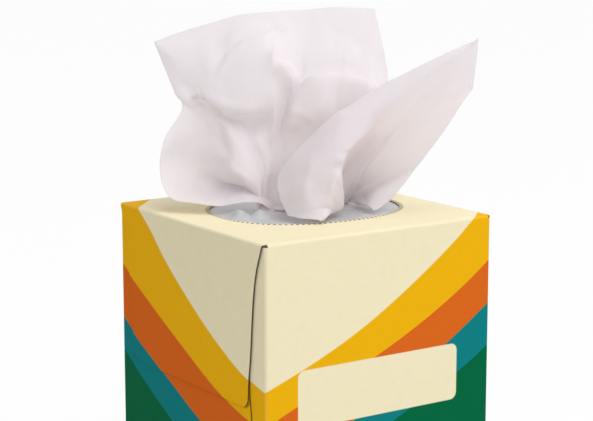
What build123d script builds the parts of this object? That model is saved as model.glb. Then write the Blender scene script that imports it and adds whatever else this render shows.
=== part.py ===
from build123d import *
import math
import os

# Cube tissue carton with a torn-out oval mouth, its slit film, the clip of tissues
# inside and the one tissue that stands out of it.
# Millimetres. Z is up, X runs along the front panel between the two glued ends,
# Y runs from the front panel to the back, and the origin is the middle of the base.

# Carton: one folded board blank
carton_width = 110.0
carton_depth = 110.0
carton_height = 125.0
board = 0.45
fold_radius = 1.2
seam_tab = 14.0

# End flaps, glued one over another: top flap outside, bottom flap, then dust flaps
top_flap = 65.0
flap_overlap = 20.0
dust_flap = 42.0
dust_taper = 7.0
flap_taper = 10.0
flap_corner = 4.0

# Oval mouth, torn out along a perforation
mouth_end_margin = 15.5
mouth_side_margin = 22.0
mouth_shift = 2.0
mouth_power = 2.3
nick_pitch = 2.2
nick_length = 1.0
nick_depth = 1.7

# Film glued under the mouth, with a slit whose lips the tissue pushes up
film_thickness = 0.2
film_margin = 8.0
slit_end_margin = 4.5
slit_gap = 16.0
lip_end_run = 3.0
lip_side_run = 6.0
lip_rise = 1.2

# Clip of tissues: a stack of soft sheets bent over in the middle
clip_end_clearance = 1.65
clip_side_clearance = 3.1
clip_shoulder = 20.0
clip_hollow = 16.0
clip_hollow_height = 70.0
headspace = 12.6

# Raised tissue
fold_length = 98.2
tissue_thickness = 0.3
tissue_turn = 34.9
slit_level = 0.2
columns_per_fold = 2
row_count = 13

# Share of a flap's length, and share of its taper that its side has drawn in there
flap_side_shares = ((0.0, 0.0), (0.06, 0.14), (0.14, 0.34), (0.25, 0.52), (0.5, 0.72), (0.8, 0.93))

# Folds of the raised tissue, clockwise from above. Each fold line has its kind, its
# foot in the gather (along X, along Y), and its places up to the free edge (right,
# away, up) in a frame that is turned about Z, from the middle of the carton's top.
# All are hundredths of fold_length. A corner is sharp at the free edge, and a crease
# is sharp all along.
fold_shares = (
    # notch between the front flap and the left lobe
    ("soft", (-7, -3),
     ((-7.5, -6, 1.4), (-8.5, -7, 1.8), (-9.3, -7.8, 2),
      (-10, -8.5, 2), (-10.8, -9.4, 1.9), (-11.5, -10.2, 1.7))),
    # lip of the left lobe, going left
    ("soft", (-10.5, -3.2),
     ((-10.6, -6.5, 1.7), (-11.4, -7.6, 2.1), (-12, -8.6, 2.4),
      (-12.5, -9.5, 2.5), (-12.9, -10.4, 2.3), (-13.2, -11.2, 1.9))),
    ("soft", (-13, -3),
     ((-12.5, -7.5, 3), (-14.2, -8, 4.6), (-15.6, -8.8, 5.6),
      (-16.6, -10, 5.8), (-17.2, -11.4, 5.3), (-17.5, -13, 4.4))),
    ("soft", (-15.5, -2.7),
     ((-15, -6.5, 6), (-19, -2.5, 8.7), (-22.5, -1.5, 9.5),
      (-24.5, -5, 8.6), (-25.3, -10, 6.8), (-25.2, -15, 4.8))),
    ("soft", (-17.5, -2.3),
     ((-19, -4.5, 6.2), (-25, 1, 8.8), (-30, 2.5, 9.5),
      (-33.5, -2.5, 8), (-35.2, -9.5, 5.8), (-35.4, -16, 3.7))),
    ("soft", (-19.2, -1.8),
     ((-21, -4.5, 6.8), (-28.5, 2, 10), (-36, 4.5, 11),
      (-41.5, 0, 9.3), (-44.7, -7.5, 6.8), (-45.6, -14.5, 4.9))),
    ("soft", (-20.3, -1.2),
     ((-21.5, -5, 7.6), (-29.5, 1.5, 11.8), (-39, 6.5, 14),
      (-46.5, 4, 12.8), (-51.8, -3.5, 10), (-54.5, -11, 7.2))),
    ("soft", (-21, -0.5),
     ((-21, -6.5, 8.6), (-28.5, -1.5, 14), (-37.5, 5, 18.5),
      (-47, 6.5, 20.3), (-54.5, 1, 20.2), (-58.5, -7, 18.8))),
    # rounded nose over the hollow of the lobe
    ("soft", (-21, 0.2),
     ((-18.3, -10, 8.5), (-24, -10.8, 14.6), (-29, -9.4, 19),
      (-32.6, -2.5, 22.2), (-44, 5.5, 27.5), (-56.4, -3, 30.1))),
    ("soft", (-20.8, 0.8),
     ((-17.5, -9.8, 11.5), (-23, -9.4, 18.6), (-27.6, -7.2, 22.5),
      (-31.8, 0, 26.2), (-40.5, 5.6, 33.5), (-49.9, 4, 41.2))),
    # left edge of the back panel
    ("soft", (-20.6, 1.1),
     ((-17.3, -9, 12.8), (-22.8, -7.2, 20.4), (-27.8, -3.2, 25.6), (-34, 3, 32.2),
      (-41.2, 5.4, 39), (-47.2, 4.4, 44.3), (-50, 5, 46), (-52.8, 6.4, 47.6))),
    ("soft", (-20.3, 1.4),
     ((-17.2, -8.4, 14), (-22.6, -4.4, 22.2), (-28, 0.8, 29), (-35, 4.6, 37),
      (-40, 5, 42.5), (-44.5, 4.6, 47), (-50, 6, 51), (-55.8, 9, 54.2))),
    ("soft", (-19.9, 1.65),
     ((-17.1, -7.8, 14.8), (-22.5, -2.8, 23.7), (-28.8, 2.2, 31.5), (-35, 4.2, 39),
      (-37.5, 3.8, 42), (-41.8, 3.4, 47.3), (-50, 6.5, 54.5), (-59, 12, 61.2))),
    ("corner", (-19.5, 1.9),
     ((-17, -7.2, 15.5), (-22.5, -1.8, 25), (-29.5, 3.2, 34), (-35, 3.4, 41),
      (-39, 1.8, 46.5), (-49.5, 7, 58), (-62, 15, 68))),
    # top edge of the back panel, going right
    ("soft", (-18.6, 2.3),
     ((-16.7, -6.6, 17), (-21.5, -1.6, 26), (-26.5, 2.8, 34), (-30.5, 3, 39.5),
      (-33, -0.5, 44), (-41.5, 5, 59.5), (-51.2, 17, 71.8))),
    ("soft", (-17.3, 2.6),
     ((-16.3, -6.2, 18.5), (-20.2, -1.6, 27.5), (-23.5, 3.6, 34), (-26, 3.4, 38.5),
      (-27.8, -2, 42.5), (-33.5, 4, 61), (-39.4, 18, 75.3))),
    ("soft", (-15.3, 2.9),
     ((-15.7, -6.2, 20), (-18.4, -2.8, 29), (-20.2, 3.5, 35), (-21.5, 2.5, 39),
      (-22.6, -3, 43.2), (-25.4, 3, 64), (-27.6, 19, 78.9))),
    ("soft", (-13, 3.1),
     ((-14.3, -6.5, 21), (-15.3, -4, 31), (-16, 0.8, 37.5),
      (-16.4, -3.4, 45), (-16.8, 2.5, 66), (-16.7, 19.5, 79.9))),
    ("crease", (-11, 3.2),
     ((-11.6, -3, 9), (-12.8, -6, 21.5), (-11.8, -4.8, 36), (-11.8, -2.4, 50),
      (-12.2, -0.8, 63.5), (-11.2, 6, 68.5), (-8.3, 20.5, 80.4))),
    ("soft", (-9.3, 3.2),
     ((-10, -1.6, 9), (-10.4, -3.8, 22), (-9, -1, 36), (-8.3, 1.2, 47),
      (-7.4, -2.2, 60), (-6.2, 5, 60.5), (-4.6, 12, 69), (-2.4, 21.5, 80.7))),
    # rounded fold in front of the back panel
    ("soft", (-7, 3.3),
     ((-8.4, -0.4, 8.5), (-9, -2.6, 20), (-8.3, -2, 32), (-6.2, 0.5, 42),
      (-2.8, -1, 54.5), (-1.5, 7, 55.5), (-0.2, 12, 65), (2.7, 22, 81))),
    ("soft", (-4, 3.3),
     ((-5.5, -4, 22), (-5, -4.5, 31), (-4.8, -8.8, 39), (-3.3, -6, 49.5),
      (-1.5, 5, 48), (2.5, 10, 60.5), (7.7, 22.5, 81.6))),
    ("soft", (-0.5, 3.4),
     ((0, -5, 24), (0.2, -5.2, 31.5), (0.6, -10.2, 41), (2.2, -7, 55.4),
      (4, 5, 52), (8, 12, 63), (13.7, 23, 82))),
    ("soft", (3, 3.4),
     ((6, -6, 26), (7, -7, 34), (8, -11.2, 44), (9.5, -7.4, 57.4),
      (10.5, 5.5, 53.5), (13.5, 13.5, 64), (19.6, 24, 81.8))),
    ("crease", (6, 3.4),
     ((11.5, -5, 27), (13.7, -7.2, 45.5), (15, -5, 57),
      (16, 6, 53.5), (19, 14.5, 64), (25.2, 25, 81.5))),
    ("corner", (9, 3.3),
     ((18, -2.5, 26.5), (22, -5.5, 42), (25.5, -4, 54),
      (26.5, 8, 50.5), (28.5, 17, 62), (30.3, 26, 81))),
    # right edge of the back panel, and the notch behind the wing
    ("soft", (12, 3.2),
     ((22, 0.5, 25), (27, -2, 38.5), (30.5, -2, 51),
      (31.5, 9, 48), (33, 17.5, 56), (33.3, 24, 66.3))),
    ("soft", (15, 3.0),
     ((25, 5, 21), (30.5, 4, 33), (33.5, 4, 43),
      (35, 11, 44), (36, 17, 47), (36.3, 22, 51.6))),
    ("soft", (17.5, 2.6),
     ((25.5, 10, 12), (30.5, 12, 19), (33.5, 13.5, 25),
      (34.5, 15.5, 28), (35, 17.5, 30.5), (35.5, 19.5, 33))),
    ("soft", (19.5, 2.1),
     ((23, 13, 4.5), (25.5, 14, 6.5), (27.5, 14.5, 8),
      (29, 14.7, 9), (30, 14.6, 9.8), (31, 14, 10.4))),
    # lower curl of the right wing, drooping over the film
    ("soft", (21.2, 1.4),
     ((22, 5, 1.7), (23.5, 0, 2.1), (25, -4, 2.5),
      (26.5, -7, 2.6), (27.6, -9, 2.3), (28.4, -10.4, 1.7))),
    ("soft", (22, 0.7),
     ((24, 5, 3.6), (27.5, 0, 5.4), (30.5, -3.5, 6.4),
      (32.8, -5.6, 6.2), (34.4, -7, 5.2), (35.4, -7.6, 4.2))),
    ("soft", (22.2, 0.35),
     ((24.6, 8, 5.4), (29.5, 6, 8.4), (33.8, 3.5, 10.4),
      (37.2, 1, 10.8), (39.4, -1, 9.8), (40.6, -2, 8.6))),
    # right edge of the wing, up to the tip
    ("soft", (22.3, 0),
     ((26, 7.5, 8), (33, 5.5, 12), (38.5, 4, 14),
      (42, 3, 14.6), (44.2, 2.5, 14.2), (45.2, 3, 13.6))),
    ("soft", (22, -0.7),
     ((28, 5, 12), (37, 2, 19), (44, 1, 23.5),
      (49.5, 1.5, 26.5), (54, 3, 28.8), (57.8, 5, 30.3))),
    ("soft", (21.3, -1.3),
     ((29, 2, 16.5), (39.5, -2.5, 27.5), (48, -4, 34.5),
      (55, -3.5, 38.8), (60.5, -1.5, 41.5), (65.5, 1, 43.3))),
    ("corner", (20.2, -1.8),
     ((29, 0.5, 18.5), (41, -4.5, 33.5), (50.5, -8.5, 42.5),
      (58.5, -9.5, 47), (64.5, -7.5, 49.4), (69.7, -5, 51))),
    ("corner", (18.7, -2.2),
     ((28.5, 2, 19), (40, -5.5, 36), (50, -12.5, 50.8),
      (58.5, -14.5, 60.6), (65.5, -14.5, 67), (71.3, -13, 72))),
    # upper left edge of the wing, down to the front flap
    ("soft", (16.8, -2.6),
     ((26.5, 4, 15.5), (33, 2.5, 27), (38.2, -5, 36.5), (42.5, -12.5, 45),
      (46, -16, 53.5), (49.2, -16, 59), (51.6, -14, 62.9))),
    ("soft", (14.8, -2.9),
     ((21, 5.5, 10), (26, 5, 21), (30, -1, 32.5), (31.5, -13.8, 39),
      (31.4, -15, 40), (32.8, -17, 46.5), (34.9, -13, 54.5))),
    ("soft", (12.6, -3.1),
     ((15.5, 3, 8), (19.5, 3, 17), (22.3, -6, 26.5), (24.2, -18.8, 32.4),
      (24, -19.9, 33.4), (22.8, -19, 41), (21.2, -13, 46.6))),
    ("soft", (10.5, -3.2),
     ((13, 2, 7), (15.5, 1, 14), (17.8, -12, 23), (19.6, -22.6, 28.2),
      (19, -23.8, 29), (15, -20.5, 36), (11.5, -13, 39.7))),
    ("soft", (8.5, -3.3),
     ((11.5, 0, 6), (14, -5, 12), (15.8, -16.5, 18.6), (17, -24.6, 24.2),
      (16, -26, 25), (9.5, -22.8, 28.8), (1.3, -13, 30.2))),
    ("soft", (6.8, -3.4),
     ((11.5, -3.5, 4.6), (16, -10, 7.5), (16.8, -20, 13), (15.6, -26.3, 18),
      (14.4, -27.6, 18.6), (4.5, -25.5, 20.5), (-9.6, -15, 17))),
    # front flap, lying over the film at the front of the mouth
    ("soft", (5.3, -3.4),
     ((10.5, -5.5, 3.6), (16.5, -13, 5), (16.2, -22, 9), (13.8, -28.2, 11.8),
      (12.4, -29.4, 12.1), (2, -28.5, 13), (-9.2, -22, 9.1))),
    ("corner", (3.7, -3.5),
     ((9.5, -7, 3), (16, -12.5, 2.6), (16.2, -19.5, 4.2), (12.6, -27.8, 7),
      (11.4, -29.6, 7.3), (4, -32, 6.6), (-5.5, -29, 2.2))),
    ("soft", (1.7, -3.5),
     ((9, -8.5, 2.4), (14.5, -12.5, 2.1), (15, -19, 2.4), (11.8, -27, 3.8),
      (10.8, -29.5, 4.4), (7.5, -33, 4.2), (1.3, -34, 1.9))),
    ("corner", (-0.7, -3.5),
     ((5.5, -10, 2.3), (10, -15.5, 2.1), (11.3, -22, 2.1),
      (10.6, -28.5, 2.6), (9.4, -34, 2.6), (7.6, -37, 1.7))),
    ("soft", (-3.6, -3.4),
     ((1.5, -9.8, 2.1), (3.5, -14, 2.6), (5, -17.5, 2.8),
      (5.8, -20.5, 2.7), (6, -23, 2.4), (6, -25, 2.1))),
)

os.makedirs("parts", exist_ok=True)

half_width = carton_width / 2
half_depth = carton_depth / 2
inside_radius = fold_radius - board
bottom_flap = carton_height - top_flap + flap_overlap
mouth_length = carton_width - 2 * mouth_end_margin
mouth_width = carton_depth - 2 * mouth_side_margin
slit_length = mouth_length - 2 * slit_end_margin
lip_length = slit_length + 2 * lip_end_run
lip_gap = slit_gap + 2 * lip_side_run
clip_length = carton_width - 2 * (3 * board + clip_end_clearance)
clip_depth = carton_depth - 2 * (2 * board + clip_side_clearance)


def hollow_outline(plane, length, height):
    """A closed band of board with rounded folds, drawn on a plane."""
    outside = RectangleRounded(length, height, fold_radius)
    inside = RectangleRounded(length - 2 * board, height - 2 * board, inside_radius)
    return plane * (outside - inside)


def flap_outline(flap_length):
    """A panel's full width at its fold, then a flap that draws in towards its free edge."""
    half = half_depth - fold_radius
    right_side = [(half - flap_taper * draw, -flap_length * reach) for reach, draw in flap_side_shares]
    left_side = [(-u, v) for u, v in right_side]
    inset = half - flap_taper
    turn = flap_corner * (1 - math.sqrt(1 / 2))
    level = flap_corner - flap_length
    corner = [(inset, level), (inset - turn, turn - flap_length), (inset - flap_corner, -flap_length)]
    left_corner = [(-u, v) for u, v in reversed(corner)]
    outline = [
        Line(left_side[0], right_side[0]),
        Spline(*right_side),
        Line(right_side[-1], corner[0]),
        ThreePointArc(*corner),
        Line(corner[-1], left_corner[0]),
        ThreePointArc(*left_corner),
        Line(left_corner[-1], left_side[-1]),
        Spline(*reversed(left_side)),
    ]
    return make_face(Wire(outline))


def capped_strip(length, flap_length, base_height, upright):
    """A top or bottom panel with its two end flaps folded over."""
    direction = 1 if upright else -1
    band = hollow_outline(Plane.XZ, length, 2 * flap_length)
    band = Pos(0, 0, base_height - direction * flap_length) * band
    band = extrude(band, half_depth - fold_radius, both=True)
    outline = Plane.YZ * flap_outline(flap_length)
    if not upright:
        outline = mirror(outline, Plane.XY)
    outline = extrude(Pos(0, 0, base_height) * outline, carton_width, both=True)
    return band & outline


def side_strip(towards_front):
    """A front or back panel with its two dust flaps folded in."""
    side = -1 if towards_front else 1
    band = hollow_outline(Plane.XY, carton_width - 4 * board, 2 * dust_flap)
    band = Pos(0, side * (half_depth - dust_flap), fold_radius) * band
    band = extrude(band, carton_height - 2 * fold_radius)
    corners = [
        (side * half_depth, fold_radius),
        (side * half_depth, carton_height - fold_radius),
        (side * (half_depth - fold_radius), carton_height - fold_radius),
        (side * (half_depth - dust_flap), carton_height - fold_radius - dust_taper),
        (side * (half_depth - dust_flap), fold_radius + dust_taper),
        (side * (half_depth - fold_radius), fold_radius),
    ]
    outline = Plane.YZ * make_face(Wire.make_polygon(corners, close=True))
    return band & extrude(outline, carton_width, both=True)


def oval_rim(steps):
    """Dense points round the mouth, an oval a little squarer than an ellipse."""
    rim = []
    for k in range(steps):
        c = math.cos(2 * math.pi * k / steps)
        s = math.sin(2 * math.pi * k / steps)
        u = math.copysign(abs(c) ** (2 / mouth_power), c) * mouth_length / 2
        v = math.copysign(abs(s) ** (2 / mouth_power), s) * mouth_width / 2
        rim.append((u, v))
    return rim + [rim[0]]


def torn_rim():
    """The mouth's outline: stubs of board on the oval, and nicks cut back between them."""
    rim = oval_rim(2000)
    run = [0.0]
    for here, after in zip(rim, rim[1:]):
        run.append(run[-1] + math.dist(here, after))
    count = round(run[-1] / nick_pitch)
    stub_share = 1 - nick_length / nick_pitch
    outline = []
    k = 0
    for i in range(count):
        for share, depth in ((0, nick_depth), (0, 0), (stub_share, 0), (stub_share, nick_depth)):
            wanted = run[-1] * (i + share) / count
            while run[k + 1] < wanted:
                k += 1
            step = (wanted - run[k]) / (run[k + 1] - run[k])
            du = rim[k + 1][0] - rim[k][0]
            dv = rim[k + 1][1] - rim[k][1]
            size = math.hypot(du, dv)
            u = rim[k][0] + step * du + depth * dv / size
            v = rim[k][1] + step * dv - depth * du / size
            outline.append((u, v))
    return outline


# Carton: a sleeve of four panels, the capped strips, the dust-flap strips and the seam tab
sleeve_half = half_width - 2 * board - fold_radius
sleeve = Plane.YZ * hollow_outline(Plane.XY, carton_depth, carton_height)
sleeve = extrude(Pos(0, 0, carton_height / 2) * sleeve, sleeve_half, both=True)
top_strip = capped_strip(carton_width, top_flap, carton_height, True)
bottom_strip = capped_strip(carton_width - 2 * board, bottom_flap, 0, False)
tab = Box(2 * sleeve_half - seam_tab, board, seam_tab)
tab = Pos(0, half_depth - 1.5 * board, fold_radius + seam_tab / 2) * tab
carton = sleeve + top_strip + bottom_strip + side_strip(True) + side_strip(False) + tab

# Mouth with the stubs of the torn perforation round its rim
mouth = make_face(Wire.make_polygon(torn_rim(), close=True))
mouth = Pos(mouth_shift, mouth_shift / 2, carton_height - 2 * board) * mouth
carton = carton - extrude(mouth, 4 * board)

# Film: a flat sheet whose slit lips slope up to a lens-shaped gap
film_top = carton_height - board


def lens(length, gap):
    """A pointed oval between two arcs."""
    near = ThreePointArc((-length / 2, 0), (0, -gap / 2), (length / 2, 0))
    far = ThreePointArc((length / 2, 0), (0, gap / 2), (-length / 2, 0))
    return make_face(Wire([near, far]))


film_sheet = Box(mouth_length + 2 * film_margin, mouth_width + 2 * film_margin, film_thickness)
film_sheet = Pos(0, 0, film_top - film_thickness / 2) * film_sheet
lip_foot = Pos(0, 0, film_top) * lens(lip_length, lip_gap)
lip_edge = Pos(0, 0, film_top + lip_rise) * lens(slit_length, slit_gap)
lips = loft([lip_foot, lip_edge])
gap_cutter = extrude(Pos(0, 0, film_top - lip_rise) * lens(slit_length, slit_gap), 3 * lip_rise)
film = film_sheet + lips - Pos(0, 0, -film_thickness) * lips - gap_cutter
film = Pos(mouth_shift, mouth_shift / 2, 0) * film

# Clip of tissues, bent over so that it has two legs
clip_height = carton_height - headspace - board
clip_outline = Rectangle(clip_depth, clip_height)
clip_outline = fillet(clip_outline.vertices().group_by(Axis.Y)[-1], clip_shoulder)
hollow_outline_height = clip_hollow_height - clip_hollow / 2
hollow = Pos(0, (hollow_outline_height - clip_height) / 2) * Rectangle(clip_hollow, hollow_outline_height)
hollow = hollow + Pos(0, hollow_outline_height - clip_height / 2) * Circle(clip_hollow / 2)
clip = extrude(Plane.YZ * (clip_outline - hollow), clip_length / 2, both=True)
clip = Pos(0, 0, board + clip_height / 2) * clip

# Raised tissue: a thin closed skin of flat facets over the folds
share_unit = fold_length / 100
turn_cos = math.cos(math.radians(tissue_turn))
turn_sin = math.sin(math.radians(tissue_turn))
clip_top = carton_height - headspace


def between(a, b, share):
    """The point that lies a share of the way from a to b."""
    return tuple(p + share * (q - p) for p, q in zip(a, b))


def step_between(a, b):
    """Knot step of a centripetal curve."""
    return math.sqrt(math.dist(a, b))


def smooth_line(points):
    """A dense line through the points, on centripetal cubics."""
    ends = [between(points[1], points[0], 2)] + list(points) + [between(points[-2], points[-1], 2)]
    line = []
    for a, b, c, d in zip(ends, ends[1:], ends[2:], ends[3:]):
        k1 = step_between(a, b)
        k2 = k1 + step_between(b, c)
        k3 = k2 + step_between(c, d)
        for i in range(16):
            k = k1 + (k2 - k1) * i / 16
            ab = between(a, b, k / k1)
            bc = between(b, c, (k - k1) / (k2 - k1))
            cd = between(c, d, (k - k2) / (k3 - k2))
            abc = between(ab, bc, k / k2)
            bcd = between(bc, cd, (k - k1) / (k3 - k1))
            line.append(between(abc, bcd, (k - k1) / (k2 - k1)))
    line.append(points[-1])
    return line


def even_places(line, count):
    """Points at even steps along a dense line, both ends included."""
    run = [0.0]
    for here, after in zip(line, line[1:]):
        run.append(run[-1] + math.dist(here, after))
    places = []
    k = 0
    for i in range(count):
        wanted = run[-1] * i / (count - 1)
        while k < len(run) - 2 and run[k + 1] < wanted:
            k += 1
        places.append(between(line[k], line[k + 1], (wanted - run[k]) / (run[k + 1] - run[k])))
    return places


def fold_line(foot, places):
    """One fold from the clip's top, through the slit and out to the free edge."""
    x = foot[0] * share_unit
    y = foot[1] * share_unit
    points = [(x, y, carton_height + slit_level)]
    for right, away, up in places:
        u = right * share_unit
        v = away * share_unit
        along = turn_cos * u + turn_sin * v
        back = turn_cos * v - turn_sin * u
        points.append((along, back, carton_height + up * share_unit))
    return [(x, y, clip_top)] + even_places(smooth_line(points), row_count)


def blend(before, here, after, beyond, share):
    """A cubic between two folds, at a share of the way."""
    values = []
    for p, q, r, s in zip(before, here, after, beyond):
        bend = 2 * p - 5 * q + 4 * r - s
        twist = 3 * q - p - 3 * r + s
        values.append(q + share * (r - p + share * (bend + share * twist)) / 2)
    return tuple(values)


def sharpness(kind, share):
    """How far a fold is kept sharp, at a share of the way to the free edge."""
    if kind == "crease":
        return 1.0
    if kind == "corner":
        return max(0.0, 2 * share - 1) ** 2
    return 0.0


def fold_columns():
    """Columns of points round the gather, with extra columns between the folds."""
    kinds = [kind for kind, foot, places in fold_shares]
    lines = [fold_line(foot, places) for kind, foot, places in fold_shares]
    count = len(lines)
    rows = len(lines[0])
    columns = []
    for i in range(count):
        near = [lines[(i + k) % count] for k in (-1, 0, 1, 2)]
        for part in range(columns_per_fold):
            column = []
            for row in range(rows):
                before, here, after, beyond = [line[row] for line in near]
                share = row / (rows - 1)
                before = between(before, between(after, here, 2), sharpness(kinds[i], share))
                beyond = between(beyond, between(here, after, 2), sharpness(kinds[(i + 1) % count], share))
                column.append(blend(before, here, after, beyond, part / columns_per_fold))
            columns.append(column)
    return columns


def outward(columns, i, row):
    """The sheet's unit normal at a point, level at the foot so that the foot stays flat."""
    count = len(columns)
    rows = len(columns[0])
    along = Vector(*columns[i][min(row + 1, rows - 1)]) - Vector(*columns[i][max(row - 1, 0)])
    across = Vector(*columns[(i + 1) % count][row]) - Vector(*columns[i - 1][row])
    normal = across.cross(along)
    if row == 0:
        normal = Vector(normal.X, normal.Y, 0)
    return normal.normalized()


def thin_skin(columns, thickness):
    """A closed solid of triangles on both sides of the sheet."""
    count = len(columns)
    rows = len(columns[0])
    outer = []
    inner = []
    for i, column in enumerate(columns):
        normals = [outward(columns, i, row) for row in range(rows)]
        outer.append([Vector(*p) + n * (thickness / 2) for p, n in zip(column, normals)])
        inner.append([Vector(*p) - n * (thickness / 2) for p, n in zip(column, normals)])
    triangles = []
    for i in range(count):
        j = (i + 1) % count
        for row in range(rows - 1):
            first = (columns[i][row], columns[j][row + 1])
            second = (columns[j][row], columns[i][row + 1])
            for skin in (outer, inner):
                a, b, c, d = skin[i][row], skin[j][row], skin[j][row + 1], skin[i][row + 1]
                if math.dist(*first) < math.dist(*second):
                    triangles += [(a, b, c), (a, c, d)]
                else:
                    triangles += [(a, b, d), (b, c, d)]
        for row in (0, rows - 1):
            a, b, c, d = outer[i][row], outer[j][row], inner[j][row], inner[i][row]
            triangles += [(a, b, c), (a, c, d)]
    faces = [Face(Wire.make_polygon(corners, close=True)) for corners in triangles]
    return Solid(Shell(faces))


tissue = thin_skin(fold_columns(), tissue_thickness)

nodes = {"carton": carton, "slit_film": film, "tissue_stack": clip, "raised_tissue": tissue}
for name, shape in nodes.items():
    export_step(shape, f"parts/{name}.step")
    print(name, round(shape.volume, 1), shape.bounding_box())
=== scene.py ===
# %% [markdown]
# # Cube tissue box
#
# A folded and glued board carton holds a clip of soft tissues. Its oval mouth has been
# torn open along a perforation, a thin film with a slit lies under the mouth, and one
# tissue stands out of the slit in loose folds.
#
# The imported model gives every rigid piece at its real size, in metres, with Z up and
# the front panel facing -Y. This file keeps the carton and the clip, gives them their
# finish, and lays the two soft sheets again with finer folds.

import math

import bpy
import numpy as np
from mathutils import Matrix, Vector, noise


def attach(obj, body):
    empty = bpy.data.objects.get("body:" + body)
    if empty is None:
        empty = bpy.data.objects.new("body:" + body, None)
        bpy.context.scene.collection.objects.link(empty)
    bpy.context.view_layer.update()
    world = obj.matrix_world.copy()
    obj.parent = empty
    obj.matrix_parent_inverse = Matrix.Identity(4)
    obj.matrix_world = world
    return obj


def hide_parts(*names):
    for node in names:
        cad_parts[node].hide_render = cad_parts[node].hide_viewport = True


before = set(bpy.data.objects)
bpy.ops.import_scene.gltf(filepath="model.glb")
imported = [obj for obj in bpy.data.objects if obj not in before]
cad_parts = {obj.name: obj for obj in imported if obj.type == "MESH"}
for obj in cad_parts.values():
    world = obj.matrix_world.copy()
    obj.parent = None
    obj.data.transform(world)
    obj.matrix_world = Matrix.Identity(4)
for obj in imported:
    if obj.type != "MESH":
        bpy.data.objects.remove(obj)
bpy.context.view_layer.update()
scene = bpy.context.scene
print("nodes:", sorted(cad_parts))

# %% [markdown]
# ## Camera
#
# The four corners of the carton's top fix the camera: they give its turn, its height
# and how strongly the far edges shrink. The lens is long, so the carton keeps nearly
# parallel edges. The picture's lower edge cuts the carton off, and the small shift
# only centres the view as the photograph has it.

# %% Camera
picture_width = 593
focal_pixels = 1800
camera_turn = math.radians(-34.4)
camera_rise = math.radians(10.3)
camera_distance = 0.737
shift_pixels = (-5.6, -2.1)
carton_top = 0.125
aim = Vector((0, 0, carton_top))

towards_camera = Vector((
    math.sin(camera_turn) * math.cos(camera_rise),
    -math.cos(camera_turn) * math.cos(camera_rise),
    math.sin(camera_rise),
))
picture_right = Vector((math.cos(camera_turn), math.sin(camera_turn), 0))
picture_up = towards_camera.cross(picture_right)

lens = bpy.data.cameras.new("camera")
lens.sensor_width = 36
lens.lens = focal_pixels / picture_width * lens.sensor_width
lens.shift_x = shift_pixels[0] / picture_width
lens.shift_y = shift_pixels[1] / picture_width
camera = bpy.data.objects.new("camera", lens)
axes = Matrix((picture_right, picture_up, towards_camera)).transposed().to_4x4()
camera.matrix_world = Matrix.Translation(aim + towards_camera * camera_distance) @ axes
scene.collection.objects.link(camera)
scene.camera = camera
print("lens:", round(lens.lens, 1), "mm")

# %% [markdown]
# ## Small helpers for finishes
#
# A finish is a graph of shader nodes. Small helpers keep the graphs readable: they
# start a material, tell where a spot lies, add a sum, multiply shares, lay one colour
# over another and blend two shaders. Colours are written as they look on a screen and
# turned to linear light here.

# %% Helpers for finishes
def ink(red, green, blue):
    """A screen colour, 0 to 255, as linear light."""
    values = []
    for level in (red, green, blue):
        c = level / 255
        values.append(c / 12.92 if c <= 0.04045 else ((c + 0.055) / 1.055) ** 2.4)
    return (*values, 1)


def new_finish(name):
    """A material with its node tree and its main shader."""
    finish = bpy.data.materials.new(name)
    finish.use_nodes = True
    tree = finish.node_tree
    return finish, tree, tree.nodes["Principled BSDF"]


def connect(tree, socket, value):
    """Puts a plain value or another node's output into a socket."""
    if isinstance(value, bpy.types.NodeSocket):
        tree.links.new(value, socket)
    else:
        socket.default_value = value


def own_place(tree):
    """Where a spot of the surface lies, in the part's own metres."""
    return tree.nodes.new("ShaderNodeTexCoord").outputs["Object"]


def in_parts(tree, vector):
    """The x, y and z of a vector."""
    node = tree.nodes.new("ShaderNodeSeparateXYZ")
    tree.links.new(vector, node.inputs[0])
    return node.outputs


def reckon(tree, operation, *terms):
    """One arithmetic node."""
    node = tree.nodes.new("ShaderNodeMath")
    node.operation = operation
    for socket, term in zip(node.inputs, terms):
        connect(tree, socket, term)
    return node.outputs[0]


def product(tree, first, *others):
    """Several shares multiplied, so that each of them has to hold."""
    for other in others:
        first = reckon(tree, "MULTIPLY", first, other)
    return first


def length_of(tree, across, down):
    """The length of a step from its two parts."""
    squares = (reckon(tree, "MULTIPLY", across, across), reckon(tree, "MULTIPLY", down, down))
    return reckon(tree, "SQRT", reckon(tree, "ADD", *squares))


def lay_over(tree, share, under, over):
    """One colour laid over another, by a share from 0 to 1."""
    node = tree.nodes.new("ShaderNodeMix")
    node.data_type = "RGBA"
    connect(tree, node.inputs[0], share)
    connect(tree, node.inputs[6], under)
    connect(tree, node.inputs[7], over)
    return node.outputs[2]


def blend(tree, share, first, second, end="Material Output"):
    """Two shaders blended by a share, as the whole surface."""
    node = tree.nodes.new("ShaderNodeMixShader")
    connect(tree, node.inputs[0], share)
    tree.links.new(first.outputs[0], node.inputs[1])
    tree.links.new(second.outputs[0], node.inputs[2])
    tree.links.new(node.outputs[0], tree.nodes[end].inputs["Surface"])


def speckle(tree, place, scale, detail=2.0):
    """Fine noise at a scale per metre."""
    node = tree.nodes.new("ShaderNodeTexNoise")
    node.inputs["Scale"].default_value = scale
    node.inputs["Detail"].default_value = detail
    tree.links.new(place, node.inputs["Vector"])
    return node.outputs["Fac"]


def rough_up(tree, height, depth, strength, under=None):
    """A bump from a height, with its depth in metres."""
    node = tree.nodes.new("ShaderNodeBump")
    node.inputs["Strength"].default_value = strength
    node.inputs["Distance"].default_value = depth
    tree.links.new(height, node.inputs["Height"])
    if under is not None:
        tree.links.new(under, node.inputs["Normal"])
    return node.outputs["Normal"]


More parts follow.
